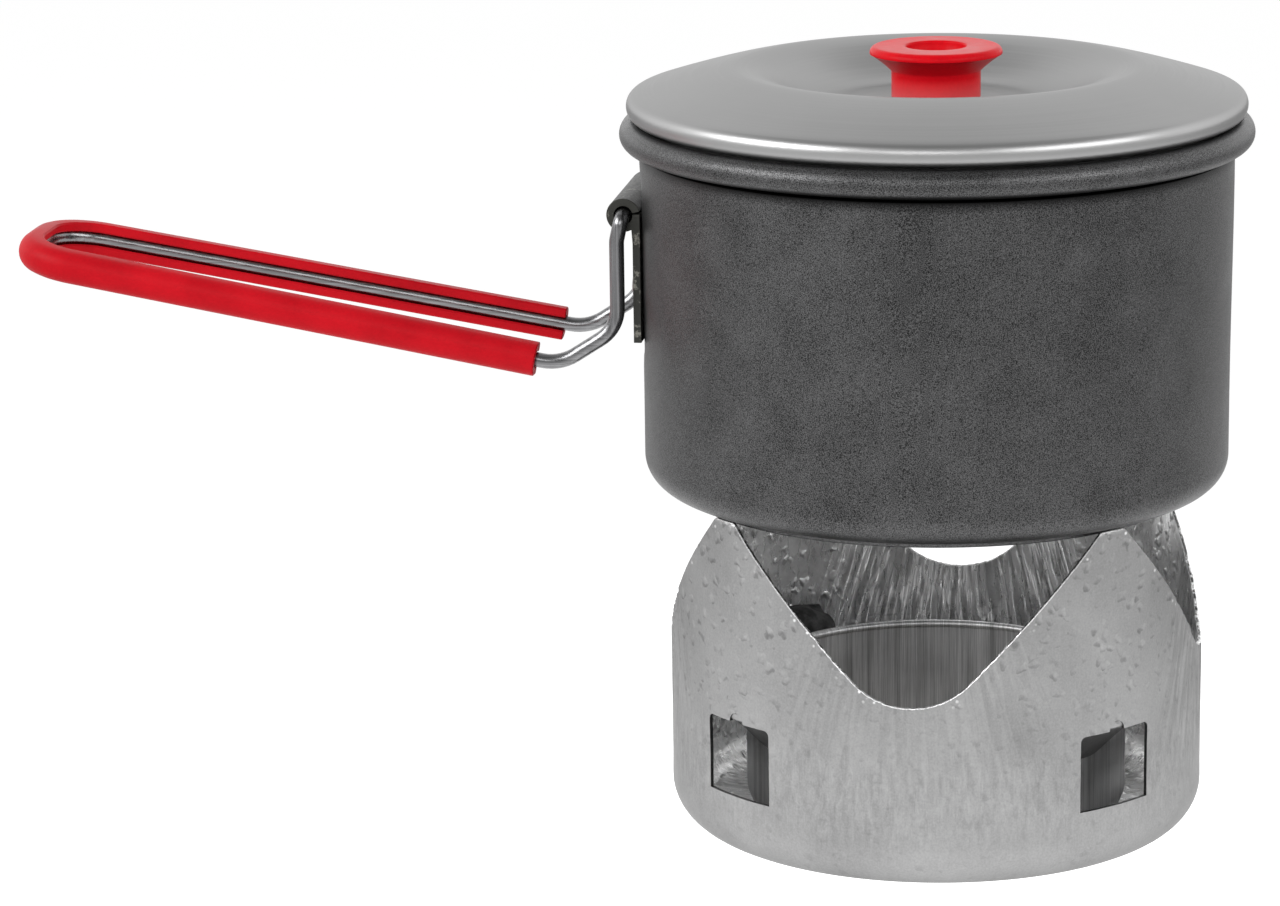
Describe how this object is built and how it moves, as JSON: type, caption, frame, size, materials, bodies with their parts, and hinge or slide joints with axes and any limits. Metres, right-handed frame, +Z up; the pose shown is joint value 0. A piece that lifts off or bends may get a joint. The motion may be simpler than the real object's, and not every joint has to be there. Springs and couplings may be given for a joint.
{
  "type": "storm cooker",
  "caption": "Spirit stove with a notched windshield and burner cup, and a lidded pot with a folding wire handle.",
  "frame": {"origin": "middle of the windshield's flat underside", "axes": "+Z up along the pot's axis, the handle along -X, one notch of the windshield facing -Y"},
  "size_m": [0.2608, 0.131, 0.1649],
  "materials": {
    "bright_aluminium": "matt drawn sheet with fine dimples and draw wrinkles",
    "burner_aluminium": "brushed upright, heat-darkened",
    "pad_fibre": "pale mineral felt",
    "grid_steel": "dull, heat-darkened",
    "anodised_aluminium": "dark grey hard anodised, fine grain",
    "bracket_steel": "dark, edges worn pale",
    "rivet_aluminium": "satin",
    "wire_steel": "drawn wire, half bright",
    "red_silicone": "satin moulded red",
    "lid_aluminium": "brushed in rings",
    "insert_brass": "turned",
    "fastener_steel": "plain zinc plated"
  },
  "bodies": {
    "stand": {"windshield": "bright_aluminium"},
    "burner": {"burner_cup": "burner_aluminium", "fuel_pad": "pad_fibre", "pad_grid": "grid_steel"},
    "pot": {"pot": "anodised_aluminium", "handle_bracket": "bracket_steel", "bracket_rivet_left": "rivet_aluminium", "bracket_rivet_right": "rivet_aluminium"},
    "handle": {"handle_wire": "wire_steel", "handle_grip": "red_silicone"},
    "lid": {"lid": "lid_aluminium", "lid_knob": "red_silicone", "knob_insert": "insert_brass", "knob_screw": "fastener_steel", "knob_washer": "fastener_steel"}
  },
  "joints": [
    {"name": "burner_lift", "type": "slide", "parent": "stand", "child": "burner", "axis": [0, 0, 1], "range_m": [0, 0.035]},
    {"name": "pot_lift", "type": "slide", "parent": "stand", "child": "pot", "axis": [0, 0, 1], "range_m": [0, 0.08]},
    {"name": "handle_fold", "type": "hinge", "parent": "pot", "child": "handle", "pos_m": [-0.0632, 0, 0.1314], "axis": [0, 1, 0], "range_deg": [0, 160]},
    {"name": "lid_lift", "type": "slide", "parent": "pot", "child": "lid", "axis": [0, 0, 1], "range_m": [0, 0.11]}
  ]
}
